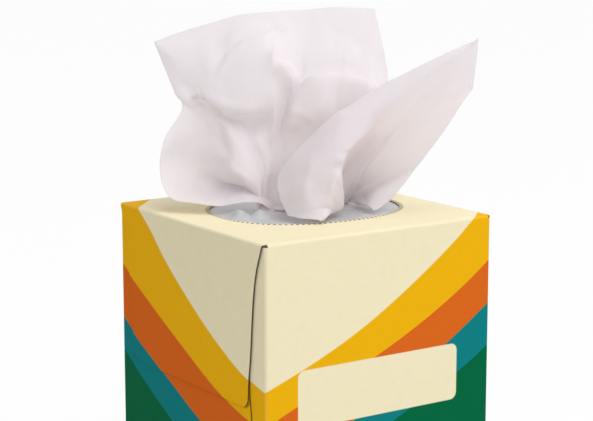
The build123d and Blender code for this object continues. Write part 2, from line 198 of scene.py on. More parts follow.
# %% [markdown]
# ## The printed bands
#
# The carton is printed before it is folded, so its coloured bands run round all four
# sides and a little way over the top. Every band rises from the near upright corner
# and from the one opposite. On all four sides the run from such a corner is the
# difference between x and y: positive on the front and right, negative on the left
# and back. So one curve for each band edge, drawn over that run, wraps the whole box.
#
# A Float Curve node holds each edge as a few points, in millimetres: the run, and how
# far the edge lies below the top. A vector handle keeps the sharp dip at the corner.

# %% Edges of the printed bands
run_range = (-110, 110)
drop_range = (-20, 130)

yellow_edge = (
    (-110, -11.5), (-94, 0.1), (-84, 7.5), (-74, 16.6), (-56, 29.8), (-38, 41.2), (-29, 46), (-20, 50.4),
    (-10, 54), (0, 56.6), (12, 52.3), (27.5, 46.2), (45, 38), (62, 28.2), (80, 16.3), (91.5, 7.9),
    (98, 2.5), (110, -8),
)
orange_edge = (
    (-110, 25), (-95, 33.1), (-75, 43.4), (-56, 52.7), (-38, 61.2), (-29, 64.7), (-20, 67.7), (-10, 69.9),
    (0, 70.6), (12, 65.4), (35, 56.8), (56, 48.2), (74, 39.6), (86, 33), (98, 25.6), (110, 17),
)
teal_edge = (
    (-110, 47.5), (-95, 56.1), (-80, 63.3), (-66, 69.8), (-48, 78), (-25, 86),
    (0, 90), (30, 79), (60, 65), (75, 56.9), (86.5, 50.2), (98, 42.9), (110, 34.8),
)
green_edge = (
    (-110, 61.9), (-96, 70), (-76, 80.6), (-50, 92.5), (-25, 100.5),
    (0, 104), (35, 88.5), (52, 81.4), (68.5, 74), (85, 66.4), (99, 59.2), (110, 52.3),
)


def edge_curve(tree, run, points):
    """How far below the top a band edge lies, in metres, at a run in metres."""
    node = tree.nodes.new("ShaderNodeFloatCurve")
    curve = node.mapping.curves[0]
    run_span = run_range[1] - run_range[0]
    drop_span = drop_range[1] - drop_range[0]
    while len(curve.points) < len(points):
        curve.points.new(0.5, 0.5)
    for point, (along, down) in zip(curve.points, points):
        point.location = ((along - run_range[0]) / run_span, (down - drop_range[0]) / drop_span)
        point.handle_type = "VECTOR" if along == 0 else "AUTO"
    node.mapping.update()
    place = reckon(tree, "MULTIPLY_ADD", run, 1000 / run_span, -run_range[0] / run_span)
    tree.links.new(place, node.inputs["Value"])
    return reckon(tree, "MULTIPLY_ADD", node.outputs[0], drop_span / 1000, drop_range[0] / 1000)


def beyond(tree, value, limit, blur):
    """0 before a limit and 1 after it, over a narrow blur."""
    past = reckon(tree, "SUBTRACT", value, limit)
    share = reckon(tree, "MULTIPLY_ADD", past, 1 / blur, 0.5)
    share.node.use_clamp = True
    return share


print("band edges:", len(yellow_edge), len(orange_edge), len(teal_edge), len(green_edge), "points")

# %% [markdown]
# ## Printed board
#
# The print is worked out from where a spot lies on the carton. Its run from the corner
# and its drop below the top choose the band. On the front there is one plain cream
# plate with round corners, bare of any words. A spot lies in the plate when its reach
# past a smaller rectangle is no longer than the radius of the corners.

# %% Bands and plate
cream = ink(248, 237, 201)
yellow = ink(244, 184, 18)
orange = ink(223, 106, 32)
teal = ink(17, 130, 134)
green = ink(6, 106, 66)
print_blur = 0.0003
front_side = -0.0545
plate_middle = (-0.0010, 0.0619)
plate_half = (0.0385, 0.01155)
plate_corner = 0.0030

board_finish, board, board_shader = new_finish("printed_board")
board_place = own_place(board)
x, y, z = in_parts(board, board_place)
x_size = reckon(board, "ABSOLUTE", x)
y_size = reckon(board, "ABSOLUTE", y)
run = reckon(board, "SUBTRACT", x, y)
drop = reckon(board, "SUBTRACT", carton_top, z)

wall_colour = cream
for edge, colour in ((yellow_edge, yellow), (orange_edge, orange), (teal_edge, teal), (green_edge, green)):
    share = beyond(board, drop, edge_curve(board, run, edge), print_blur)
    wall_colour = lay_over(board, share, wall_colour, colour)

reach = []
for value, middle, half in zip((x, drop), plate_middle, plate_half):
    offset = reckon(board, "ABSOLUTE", reckon(board, "SUBTRACT", value, middle))
    reach.append(reckon(board, "MAXIMUM", reckon(board, "SUBTRACT", offset, half - plate_corner), 0))
past_plate = beyond(board, length_of(board, *reach), plate_corner, print_blur)
on_front = reckon(board, "LESS_THAN", y, front_side)
plate_share = product(board, reckon(board, "SUBTRACT", 1, past_plate), on_front)
wall_colour = lay_over(board, plate_share, wall_colour, cream)
print("bands and plate:", len(board.nodes), "nodes")

# %% [markdown]
# The ink lies on the outer side of the board only. A cut edge and the inside show the
# raw grey board. The outer side is where the surface faces away from the carton's
# middle, close to one of its six outer planes, so position and normal tell them apart.
# The limits take in the rounded folds and, at the ends, the flaps that lie on each
# other. The rims of the small holes at the upper corners of the right end are inked too.

# %% Outer side of the board
outer_from = (0.0538, 0.0537)
top_from = 0.1237
base_to = 0.0013
facing_out = 0.45
hole_drop = 0.0016
hole_from = 0.05

surface = board.nodes.new("ShaderNodeNewGeometry")
facing = in_parts(board, surface.outputs["True Normal"])
is_top = product(board, reckon(board, "GREATER_THAN", z, top_from),
                 reckon(board, "GREATER_THAN", facing[2], facing_out))
is_base = product(board, reckon(board, "LESS_THAN", z, base_to),
                  reckon(board, "LESS_THAN", facing[2], -facing_out))
is_hole = product(board, reckon(board, "LESS_THAN", drop, hole_drop),
                  reckon(board, "GREATER_THAN", x, hole_from))
outer = reckon(board, "MAXIMUM", is_hole, reckon(board, "MAXIMUM", is_top, is_base))
for value, size, normal, near in zip((x, y), (x_size, y_size), facing, outer_from):
    outwards = reckon(board, "MULTIPLY", reckon(board, "SIGN", value), normal)
    is_out = reckon(board, "GREATER_THAN", outwards, facing_out)
    is_near = reckon(board, "GREATER_THAN", size, near)
    outer = reckon(board, "MAXIMUM", outer, product(board, is_near, is_out))
print("with the outer side:", len(board.nodes), "nodes")

# %% [markdown]
# Each end is closed by glued flaps. Beside the outer one's sides and below its free edge,
# a narrow line of painted shade darkens the board's colour. A curve gives the half width
# of that flap at each drop, in millimetres. The painted shade fades over a short way past
# the flap's outline. It lies on the layer under the flap, one thickness of board further
# in, and keeps off the fold.

# %% Painted shade beside the end flaps
lower_layer = (0.0541, 0.0548)
fold_end = 0.0014
flap_length = 0.065
flap_end = 0.045
flap_corner = 0.004
side_fade = 0.0024
edge_fade = 0.0009
corner_fade = 0.0010
flap_side = (
    (-110, 55), (0, 55), (3.9, 53.6), (9.1, 51.6), (16.3, 49.8), (32.5, 47.8), (52, 45.7), (61, 45),
    (110, 45),
)

past_side = reckon(board, "SUBTRACT", y_size, edge_curve(board, drop, flap_side))
past_edge = reckon(board, "SUBTRACT", drop, flap_length)
corner_across = reckon(board, "MAXIMUM", reckon(board, "SUBTRACT", y_size, flap_end - flap_corner), 0)
corner_down = reckon(board, "MAXIMUM", reckon(board, "ADD", past_edge, flap_corner), 0)
past_corner = reckon(board, "SUBTRACT", length_of(board, corner_across, corner_down), flap_corner)
past_corner = product(board, past_corner, reckon(board, "GREATER_THAN", corner_down, 0))
away = reckon(board, "DIVIDE", past_side, side_fade)
for past, fade in ((past_edge, edge_fade), (past_corner, corner_fade)):
    away = reckon(board, "MAXIMUM", away, reckon(board, "DIVIDE", past, fade))
fading = reckon(board, "MAXIMUM", reckon(board, "SUBTRACT", 1, away), 0)

at_end = reckon(board, "GREATER_THAN", x_size, lower_layer[0])
on_lower = product(board, at_end, reckon(board, "LESS_THAN", x_size, lower_layer[1]),
                   reckon(board, "GREATER_THAN", drop, fold_end))
flap_shade = reckon(board, "MINIMUM", product(board, fading, fading, on_lower), 1)
print("with the flaps' shade:", len(board.nodes), "nodes")

# %% [markdown]
# A fold is where the normal leans between two planes. The ink is a little paler there,
# as it cracks. A faint mottle darkens the print, and the raw board shows its fibres. The
# cut edges at the ends lie in the flaps' gaps and get a darker colour as painted shade,
# and the painted shade beside the end flaps is laid over the print. Fibres and a slow
# waviness of the panels go into bump, and the gloss follows the mottle.

# %% Board finish
fold_pale = ink(252, 246, 228)
fold_share_most = 0.04
fold_flatness = 0.93
fold_blur = 0.1
mottle_ink = ink(40, 34, 24)
mottle_share = 0.10
# colour and share of the painted shade beside the end flaps
flap_shade_colour = ink(50, 40, 24)
flap_shade_share = 0.55
raw_board = ink(176, 166, 148)
raw_fibres = ink(146, 136, 120)
# painted shade: darker colour of the cut edges in the flaps' gaps
gap_edge_shade = ink(84, 74, 58)

flatness = 0
for normal in facing:
    flatness = reckon(board, "MAXIMUM", flatness, reckon(board, "ABSOLUTE", normal))
fold_share = reckon(board, "SUBTRACT", 1, beyond(board, flatness, fold_flatness, fold_blur))
wall_colour = lay_over(board, product(board, fold_share, fold_share_most), wall_colour, fold_pale)

fibres = speckle(board, board_place, 2600, 3.0)
mottle = speckle(board, board_place, 160, 3.0)
shade = reckon(board, "ABSOLUTE", product(board, reckon(board, "SUBTRACT", mottle, 0.5), mottle_share))
wall_colour = lay_over(board, shade, wall_colour, mottle_ink)
# painted shade beside the end flaps, laid over the print
wall_colour = lay_over(board, product(board, flap_shade, flap_shade_share), wall_colour, flap_shade_colour)
edge_colour = lay_over(board, fibres, raw_board, raw_fibres)
# painted shade: the cut edges at the ends take the darker colour
edge_colour = lay_over(board, at_end, edge_colour, gap_edge_shade)
connect(board, board_shader.inputs["Base Color"], lay_over(board, outer, edge_colour, wall_colour))

gloss = reckon(board, "MULTIPLY_ADD", mottle, 0.16, 0.40)
rough = reckon(board, "MULTIPLY_ADD", outer, -0.42, 0.9)
connect(board, board_shader.inputs["Roughness"], reckon(board, "MAXIMUM", gloss, rough))
board_shader.inputs["Specular IOR Level"].default_value = 0.01
waves = rough_up(board, speckle(board, board_place, 24, 1.0), 0.0006, 0.25)
connect(board, board_shader.inputs["Normal"], rough_up(board, fibres, 0.00004, 0.35, waves))

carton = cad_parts["carton"]
carton.data.materials.clear()
carton.data.materials.append(board_finish)
print("printed board:", len(board.nodes), "nodes")

# %% [markdown]
# ## Clip of tissues
#
# The clip fills most of the carton and hardly shows: only a sliver of it can be seen
# through the slit. It stays the CAD solid. Its finish draws the many thin sheets as fine
# lines that follow the height, softened by noise so that no line runs dead level.

# %% Clip of tissues
clip_finish, clip, clip_shader = new_finish("stacked_tissue")
layers = clip.nodes.new("ShaderNodeTexWave")
layers.bands_direction = "Z"
for socket, value in (("Scale", 130), ("Distortion", 1.6), ("Detail", 2.0)):
    layers.inputs[socket].default_value = value
clip.links.new(own_place(clip), layers.inputs["Vector"])
sheet_lines = lay_over(clip, layers.outputs["Fac"], ink(206, 198, 200), ink(238, 235, 236))
connect(clip, clip_shader.inputs["Base Color"], sheet_lines)
clip_shader.inputs["Roughness"].default_value = 0.92
connect(clip, clip_shader.inputs["Normal"], rough_up(clip, layers.outputs["Fac"], 0.0003, 0.5))
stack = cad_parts["tissue_stack"]
stack.data.materials.clear()
stack.data.materials.append(clip_finish)
print("clip finish:", len(clip.nodes), "nodes")

# %% [markdown]
# ## Slit film
#
# The film is one flat sheet, glued round the mouth and slit along the middle. Pulling
# tissues has pushed the lips of the slit up and made them wavy. A few round swells and
# dips stand for the waves, strongest at the left end of the slit, with a little noise
# over them. They fade out towards the rim of the mouth, so that the glued border stays
# flat under the board.

# %% Swells of the film
mouth_middle = Vector((0.002, 0.001))
mouth_half = Vector((0.0395, 0.033))
mouth_power = 2.3
rim_fade = 3
waviness = 0.35
waviness_scale = 0.16
waviness_slice = 3.0

# Swells of the film, in millimetres: x and y of the middle, height, and radius
film_swells = (
    (-34.5, 2.0, -1.5, 3.0),
    (-29.5, 2.0, 3.0, 4.0),
    (-26.8, -1.0, -2.0, 1.8),
    (-23.5, -4.2, 3.0, 3.0),
    (-16.0, -6.0, 1.6, 4.0),
    (-8.5, -7.5, 1.2, 4.5),
    (4.0, -7.5, 0.7, 6.0),
    (18.0, -6.0, 1.0, 5.0),
    (27.0, -3.0, 0.9, 4.0),
    (33.0, 4.0, -3.0, 6.0),
    (20.0, 9.0, 1.0, 6.0),
    (-4.0, 9.0, 1.0, 7.0),
)


def film_lift(x, y):
    """How far the film swells at a place in millimetres from the carton's middle."""
    oval = 0
    for value, middle, half in zip((x, y), mouth_middle * 1000, mouth_half * 1000):
        oval += abs((value - middle) / half) ** mouth_power
    inside = max(0, 1 - oval)
    lift = 0
    for swell_x, swell_y, height, radius in film_swells:
        apart = ((x - swell_x) ** 2 + (y - swell_y) ** 2) / radius ** 2
        lift += height * math.exp(-apart)
    lift += waviness * noise.noise(Vector((x * waviness_scale, y * waviness_scale, waviness_slice)))
    return lift * min(1, inside * rim_fade)


print("film swells:", len(film_swells))

# %% [markdown]
# The sheet is a ring of columns that run from the pointed slit out to the film's
# straight sides. Its rows lie closer together at the slit, where the film bends most.
# The raised tissue is a ring of columns as well, so both share the function that turns
# columns into a mesh.

# %% Slit film
film_half = Vector((0.0475, 0.041))
film_level = 0.12444
slit_half = Vector((0.0275, 0.0054))
film_rows = 26
film_columns = 360
row_power = 1.3


def film_point(turn, row):
    """One point of the film: turn goes round the slit, row goes from the slit outwards."""
    c = math.cos(turn)
    s = math.sin(turn)
    inner = Vector((slit_half.x * c, slit_half.y * s * abs(s)))
    stretch = 1 / max(abs(c), abs(s))
    outer_edge = Vector((film_half.x * c * stretch, film_half.y * s * stretch))
    place = inner.lerp(outer_edge, (row / (film_rows - 1)) ** row_power) + mouth_middle
    return (place.x, place.y, film_level + film_lift(place.x * 1000, place.y * 1000) / 1000)


def ring_mesh(name, columns):
    """A sheet from columns of points that go right round."""
    count = len(columns)
    rows = len(columns[0])
    faces = []
    for i in range(count):
        j = (i + 1) % count
        for row in range(rows - 1):
            faces.append((i * rows + row, j * rows + row, j * rows + row + 1, i * rows + row + 1))
    mesh = bpy.data.meshes.new(name)
    mesh.from_pydata([tuple(p) for column in columns for p in column], [], faces)
    mesh.shade_smooth()
    piece = bpy.data.objects.new(name, mesh)
    scene.collection.objects.link(piece)
    return piece


film_ring = [2 * math.pi * i / film_columns for i in range(film_columns)]
film = ring_mesh("film_window", [[film_point(turn, row) for row in range(film_rows)] for turn in film_ring])
film_area = sum(face.area for face in film.data.polygons)
print("film:", len(film.data.polygons), "faces,", round(film_area * 1e4, 1), "cm2")

# %% [markdown]
# The real film is clear but creased and a little milky, so it looks pale grey and lets
# the dark inside show a little. Where it runs under the board its colour is dark: glue,
# and painted shade.

# %% Film finish
film_finish, milky, milky_shader = new_finish("clear_film")
milky_place = own_place(milky)
cloud = speckle(milky, milky_place, 90, 3.0)
film_colour = lay_over(milky, cloud, ink(196, 197, 200), ink(224, 224, 226))
oval = []
for value, middle, half in zip(in_parts(milky, milky_place), mouth_middle, mouth_half):
    part = reckon(milky, "ABSOLUTE", reckon(milky, "MULTIPLY_ADD", value, 1 / half, -middle / half))
    oval.append(reckon(milky, "POWER", part, mouth_power))
past_rim = reckon(milky, "GREATER_THAN", reckon(milky, "ADD", *oval), 1.0)
# painted shade and glue where the film runs under the board
film_colour = lay_over(milky, past_rim, film_colour, ink(84, 78, 70))
connect(milky, milky_shader.inputs["Base Color"], film_colour)
milky_shader.inputs["Roughness"].default_value = 0.32
milky_shader.inputs["Specular IOR Level"].default_value = 0.15
milky_shader.inputs["Alpha"].default_value = 0.9
film_creases = rough_up(milky, speckle(milky, milky_place, 220, 2.0), 0.0004, 0.3)
connect(milky, milky_shader.inputs["Normal"], film_creases)
film.data.materials.append(film_finish)
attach(film, "root")
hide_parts("slit_film")
print("film finish:", len(milky.nodes), "nodes")

# %% [markdown]
# ## Slots of the perforation
#
# The torn rim keeps the slots of the perforation as nicks in the board, spaced evenly
# along the oval. Even steps of the angle would not be even along the rim, so the oval is
# first drawn as a dense line with the run along it, and places are looked up by run.

# %% Rim of the mouth
rim_steps = 2001


def mouth_rim(steps):
    """Dense points round the mouth, with the run along it and the way outwards."""
    turn = np.linspace(0, 2 * math.pi, steps)
    c = np.cos(turn)
    s = np.sin(turn)
    u = np.sign(c) * np.abs(c) ** (2 / mouth_power) * mouth_half.x
    v = np.sign(s) * np.abs(s) ** (2 / mouth_power) * mouth_half.y
    points = np.stack((u, v), axis=1)
    steps_between = np.diff(points, axis=0)
    lengths = np.linalg.norm(steps_between, axis=1)
    outwards = np.stack((steps_between[:, 1], -steps_between[:, 0]), axis=1) / lengths[:, None]
    outwards = np.vstack((outwards, outwards[:1]))
    return points, np.concatenate(([0], np.cumsum(lengths))), outwards


def along_rim(values, run, wanted):
    """Values given along the rim, at wanted runs."""
    return np.stack([np.interp(wanted, run, values[:, k]) for k in range(2)], axis=1)


rim, rim_run, rim_out = mouth_rim(rim_steps)
print("rim:", round(rim_run[-1] * 1000, 1), "mm round")

# %% [markdown]
# The nicks are narrow and deep, so each is dark inside and the rim looks dashed. A dark
# fleck just below the upper side of the board closes each nick: painted shade that
# stands for that dark inside.

# %% Painted shade in the slots of the perforation
slot_pitch = 0.0022
slot_length = 0.0010
slot_depth = 0.0017
slot_inset = 0.00003
slot_level = 0.12492

slot_count = round(rim_run[-1] / slot_pitch)
slot_ends = rim_run[-1] * np.arange(1, slot_count + 1) / slot_count - slot_inset
slot_starts = slot_ends + 2 * slot_inset - rim_run[-1] / slot_count * slot_length / slot_pitch
slot_corners = []
for wanted, depth in ((slot_starts, 0), (slot_ends, 0), (slot_ends, slot_depth), (slot_starts, slot_depth)):
    spot = along_rim(rim, rim_run, wanted) + along_rim(rim_out, rim_run, wanted) * depth
    slot_corners.append(spot + np.array(mouth_middle))
slot_points = np.stack(slot_corners, axis=1).reshape(-1, 2)
slot_shade_mesh = bpy.data.meshes.new("perforation_slot_shade")
slot_faces = [tuple(range(4 * i, 4 * i + 4)) for i in range(slot_count)]
slot_shade_mesh.from_pydata([(u, v, slot_level) for u, v in slot_points.tolist()], [], slot_faces)
slots = bpy.data.objects.new("perforation_slot_shade", slot_shade_mesh)
scene.collection.objects.link(slots)

slot_finish, _, slot_shader = new_finish("slot_shade")
# colour of the flecks: painted shade
slot_shader.inputs["Base Color"].default_value = ink(74, 70, 64)
slot_shader.inputs["Roughness"].default_value = 0.9
slot_shader.inputs["Specular IOR Level"].default_value = 0.0
slots.data.materials.append(slot_finish)
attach(slots, "root")
print("slots:", slot_count)

# %% [markdown]
# ## Raised tissue
#
# A tissue is about 200 by 210 mm. Its lower half is still folded into the clip, and
# its upper half is gathered by the slit and spreads into a broad back panel, a low
# lobe at the left, a pointed wing at the right and a small flap at the front.
#
# A cloth simulation would fall into folds of its own, so the folds are laid one by one.
# The sheet is a fan of fold lines, clockwise from above. Each has its foot in the
# gather and six to eight places up to the free edge, in millimetres to the right, away
# and up, seen from the camera's side and measured from the middle of the carton's top.
# A crease is sharp all along its line, and a corner only at the free edge.

# %% Fold lines of the tissue
fold_lines = (
    # notch between the front flap and the left lobe
    ("soft", (-7, -3),
     ((-7.5, -6, 1.4), (-8.5, -7, 1.8), (-9.3, -7.8, 2),
      (-10, -8.5, 2), (-10.8, -9.4, 1.9), (-11.5, -10.2, 1.7))),
    # lip of the left lobe, going left
    ("soft", (-10.5, -3.2),
     ((-10.6, -6.5, 1.7), (-11.4, -7.6, 2.1), (-12, -8.6, 2.4),
      (-12.5, -9.5, 2.5), (-12.9, -10.4, 2.3), (-13.2, -11.2, 1.9))),
    ("soft", (-13, -3),
     ((-12.5, -7.5, 3), (-14.2, -8, 4.6), (-15.6, -8.8, 5.6),
      (-16.6, -10, 5.8), (-17.2, -11.4, 5.3), (-17.5, -13, 4.4))),
    ("soft", (-15.5, -2.7),
     ((-15, -6.5, 6), (-19, -2.5, 8.7), (-22.5, -1.5, 9.5),
      (-24.5, -5, 8.6), (-25.3, -10, 6.8), (-25.2, -15, 4.8))),
    ("soft", (-17.5, -2.3),
     ((-19, -4.5, 6.2), (-25, 1, 8.8), (-30, 2.5, 9.5),
      (-33.5, -2.5, 8), (-35.2, -9.5, 5.8), (-35.4, -16, 3.7))),
    ("soft", (-19.2, -1.8),
     ((-21, -4.5, 6.8), (-28.5, 2, 10), (-36, 4.5, 11),
      (-41.5, 0, 9.3), (-44.7, -7.5, 6.8), (-45.6, -14.5, 4.9))),
    ("soft", (-20.3, -1.2),
     ((-21.5, -5, 7.6), (-29.5, 1.5, 11.8), (-39, 6.5, 14),
      (-46.5, 4, 12.8), (-51.8, -3.5, 10), (-54.5, -11, 7.2))),
    ("soft", (-21, -0.5),
     ((-21, -6.5, 8.6), (-28.5, -1.5, 14), (-37.5, 5, 18.5),
      (-47, 6.5, 20.3), (-54.5, 1, 20.2), (-58.5, -7, 18.8))),
    # rounded nose over the hollow of the lobe
    ("soft", (-21, 0.2),
     ((-18.3, -10, 8.5), (-24, -10.8, 14.6), (-28.6, -9.2, 17.6),
      (-33, -2, 21.6), (-44, 5.5, 27.5), (-56.4, -3, 30.1))),
    ("soft", (-20.8, 0.8),
     ((-17.5, -9.8, 11), (-23, -10.4, 17), (-27.6, -8.2, 21.4),
      (-33, 1.2, 27), (-40.5, 5.6, 33.5), (-49.9, 4, 41.2))),
    # left edge of the back panel
    ("soft", (-20.6, 1.1),
     ((-17.3, -9, 12.4), (-22.8, -9.6, 19.4), (-27.8, -6.2, 25), (-34, 3, 32.2),
      (-41.2, 5.4, 39), (-47.2, 4.4, 44.3), (-50, 5, 46), (-52.8, 6.4, 47.6))),
    ("soft", (-20.3, 1.4),
     ((-17.2, -8.4, 13.8), (-22.6, -8.6, 21.6), (-28, -4, 28.8), (-35, 3.4, 37),
      (-40, 5, 42.5), (-44.5, 4.6, 47), (-50, 6, 51), (-55.8, 9, 54.2))),
    ("soft", (-19.9, 1.65),
     ((-17.1, -7.8, 14.8), (-22.5, -7.4, 23.7), (-28.8, -1.8, 31.5), (-35, 3.6, 39),
      (-37.5, 3.8, 42), (-41.8, 3.4, 47.3), (-50, 6.5, 54.5), (-59, 12, 61.2))),
    ("corner", (-19.5, 1.9),
     ((-17, -7.2, 15.5), (-22.5, -6, 25), (-29.5, 0.4, 34), (-35, 3, 41),
      (-39, 1.8, 46.5), (-49.5, 7, 58), (-62, 15, 68))),
    # top edge of the back panel, going right
    ("soft", (-18.6, 2.3),
     ((-16.7, -6.6, 17), (-21.5, -5, 26), (-26.5, 0.8, 33.5), (-30.5, 3, 38.2),
      (-33, -0.5, 42.4), (-41.5, 5, 59.5), (-51.2, 17, 71.8))),
    ("soft", (-17.3, 2.6),
     ((-16.3, -6.2, 18.5), (-20.2, -4.4, 27.5), (-23.5, 1.6, 33), (-26, 3.4, 37),
      (-27.8, -2, 41), (-33.5, 4, 61), (-39.4, 18, 75.3))),
    ("soft", (-15.3, 2.9),
     ((-15.7, -6.2, 20), (-18.4, -4.6, 29), (-20.2, 2, 34), (-21.5, 2.5, 37.6),
      (-22.6, -3, 41.6), (-25.4, 3, 64), (-27.6, 19, 78.9))),
    ("soft", (-13, 3.1),
     ((-14.3, -6.5, 21), (-15.3, -4, 31), (-16, 0.8, 37.5),
      (-16.4, -3.4, 45), (-16.8, 2.5, 66), (-16.7, 19.5, 79.9))),
    ("crease", (-11, 3.2),
     ((-11.6, -3, 9), (-12.8, -6, 21.5), (-11.8, -4.8, 36), (-11.8, -2.4, 50),
      (-12.2, -0.8, 63.5), (-11.2, 6, 68.5), (-8.3, 20.5, 80.4))),
    ("soft", (-9.3, 3.2),
     ((-10, -1.6, 9), (-10.4, -3.8, 22), (-9, -1, 36), (-8.3, 1.2, 47),
      (-7.4, -2.2, 60), (-6.2, 5, 60.5), (-4.6, 12, 69), (-2.4, 21.5, 80.7))),
    # rounded fold in front of the back panel
    ("soft", (-7, 3.3),
     ((-8.4, -0.4, 8.5), (-9, -2.6, 20), (-8.3, -2, 32), (-6.2, 0.5, 42),
      (-2.8, -1, 54.5), (-1.5, 7, 55.5), (-0.2, 12, 65), (2.7, 22, 81))),
    ("soft", (-4, 3.3),
     ((-5.5, -4, 22), (-5, -4.5, 31), (-4.8, -8.8, 39), (-3.3, -6, 49.5),
      (-1.5, 5, 48), (2.5, 10, 60.5), (7.7, 22.5, 81.6))),
    ("soft", (-0.5, 3.4),
     ((0, -5, 24), (0.2, -5.2, 31.5), (0.6, -10.2, 41), (2.2, -7, 55.4),
      (4, 5, 52), (8, 12, 63), (13.7, 23, 82))),
    ("soft", (3, 3.4),
     ((6, -6, 26), (7, -7, 34), (8, -11.2, 44), (9.5, -7.4, 57.4),
      (10.5, 5.5, 53.5), (13.5, 13.5, 64), (19.6, 24, 81.8))),
    ("crease", (6, 3.4),
     ((11.5, -5, 27), (13.7, -7.2, 45.5), (15, -5, 57),
      (16, 6, 53.5), (19, 14.5, 64), (25.2, 25, 81.5))),
    ("corner", (9, 3.3),
     ((18, -2.5, 26.5), (22, -5.5, 42), (25.5, -4, 54),
      (26.5, 8, 50.5), (28.5, 17, 62), (30.3, 26, 81))),
    # right edge of the back panel, and the notch behind the wing
    ("soft", (12, 3.2),
     ((22, 0.5, 25), (27, -2, 38.5), (30.5, -2, 51),
      (31.5, 9, 48), (33, 17.5, 56), (33.3, 24, 66.3))),
    ("soft", (15, 3.0),
     ((25, 5, 21), (30.5, 4, 33), (33.5, 4, 43),
      (35, 11, 44), (36, 17, 47), (36.3, 22, 51.6))),
    ("soft", (17.5, 2.6),
     ((25.5, 10, 12), (30.5, 12, 19), (33.5, 13.5, 25),
      (34.5, 15.5, 28), (35, 17.5, 30.5), (35.5, 19.5, 33))),
    ("soft", (19.5, 2.1),
     ((23, 13, 4.5), (25.5, 14, 6.5), (27.5, 14.5, 8),
      (29, 14.7, 9), (30, 14.6, 9.8), (31, 14, 10.4))),
    # lower curl of the right wing, drooping over the film
    ("soft", (21.2, 1.4),
     ((22, 5, 1.7), (23.5, 0, 2.1), (25, -4, 2.5),
      (26.5, -7, 2.6), (27.6, -9, 2.3), (28.4, -10.4, 1.7))),
    ("soft", (22, 0.7),
     ((24, 5, 3.6), (27.5, 0, 5.4), (30.5, -3.5, 6.4),
      (32.8, -5.6, 6.2), (34.4, -7, 5.2), (35.4, -7.6, 4.2))),
    ("soft", (22.2, 0.35),
     ((24.6, 8, 5.4), (29.5, 6, 8.4), (33.8, 3.5, 10.4),
      (37.2, 1, 10.8), (39.4, -1, 9.8), (40.6, -2, 8.6))),
    # right edge of the wing, up to the tip
    ("soft", (22.3, 0),
     ((26, 7.5, 8), (33, 5.5, 12), (38.5, 4, 14),
      (42, 3, 14.6), (44.2, 2.5, 14.2), (45.2, 3, 13.6))),
    ("soft", (22, -0.7),
     ((28, 5, 12), (37, 2, 19), (44, 1, 23.5),
      (49.5, 1.5, 26.5), (54, 3, 28.8), (57.8, 5, 30.3))),
    ("soft", (21.3, -1.3),
     ((29, 2, 16.5), (39.5, -2.5, 27.5), (48, -4, 34.5),
      (55, -3.5, 38.8), (60.5, -1.5, 41.5), (65.5, 1, 43.3))),
    ("corner", (20.2, -1.8),
     ((29, 0.5, 18.5), (41, -4.5, 33.5), (50.5, -8.5, 42.5),
      (58.5, -9.5, 47), (64.5, -7.5, 49.4), (69.7, -5, 51))),
    ("corner", (18.7, -2.2),
     ((28.2, 1, 19.6), (39.8, -5.6, 36), (50, -12.5, 50.8),
      (58.5, -14.5, 60.6), (65.5, -14.5, 67), (71.3, -13, 72))),
    # upper left edge of the wing, down to the front flap
    ("soft", (16.8, -2.6),
     ((25.6, 2.2, 17.4), (31.8, -1, 27.6), (37.8, -6.4, 37), (42.5, -12.5, 45),
      (46, -16, 53.5), (49.2, -16, 59), (51.6, -14, 62.9))),
    ("soft", (14.8, -2.9),
     ((20.8, 3.8, 11), (24.8, 2.8, 21.6), (29, -3.2, 32), (31.5, -13.8, 39),
      (31.4, -15, 40), (32.8, -17, 46.5), (34.9, -13, 54.5))),
    ("soft", (12.6, -3.1),
     ((15.5, 3, 8), (19.5, 3, 17), (22.3, -6, 26.5), (24.2, -18.8, 32.4),
      (24, -19.9, 33.4), (22.8, -19, 41), (21.2, -13, 46.6))),
    ("soft", (10.5, -3.2),
     ((13, 2, 7), (15.5, 1, 14), (17.8, -12, 23), (19.6, -22.6, 28.2),
      (19, -23.8, 29), (15, -20.5, 36), (11.5, -13, 39.7))),
    ("soft", (8.5, -3.3),
     ((11.5, 0, 6), (14, -5, 12), (15.8, -16.5, 18.6), (17, -24.6, 24.2),
      (16, -26, 25), (9.5, -22.8, 28.8), (1.3, -13, 30.2))),
    ("soft", (6.8, -3.4),
     ((11.5, -3.5, 4.6), (16, -10, 7.5), (16.8, -20, 13), (15.6, -26.3, 18),
      (14.4, -27.6, 18.6), (4.5, -25.5, 20.5), (-9.6, -15, 17))),
    # front flap, lying over the film at the front of the mouth
    ("soft", (5.3, -3.4),
     ((10.5, -5.5, 3.6), (16.5, -13, 5), (16.2, -22, 9), (13.8, -28.2, 11.8),
      (12.4, -29.4, 12.1), (2, -28.5, 13), (-9.2, -22, 9.1))),
    ("corner", (3.7, -3.5),
     ((9.5, -7, 3), (16, -12.5, 2.6), (16.2, -19.5, 4.2), (12.6, -27.8, 7),
      (11.4, -29.6, 7.3), (4, -32, 6.6), (-5.5, -29, 2.2))),
    ("soft", (1.7, -3.5),
     ((9, -8.5, 2.4), (14.5, -12.5, 2.1), (15, -19, 2.4), (11.8, -27, 3.8),
      (10.8, -29.5, 4.4), (7.5, -33, 4.2), (1.3, -34, 1.9))),
    ("corner", (-0.7, -3.5),
     ((5.5, -10, 2.3), (10, -15.5, 2.1), (11.3, -22, 2.1),
      (10.6, -28.5, 2.6), (9.4, -34, 2.6), (7.6, -37, 1.7))),
    ("soft", (-3.6, -3.4),
     ((1.5, -9.8, 2.1), (3.5, -14, 2.6), (5, -17.5, 2.8),
      (5.8, -20.5, 2.7), (6, -23, 2.4), (6, -25, 2.1))),
)
print("fold lines:", len(fold_lines))

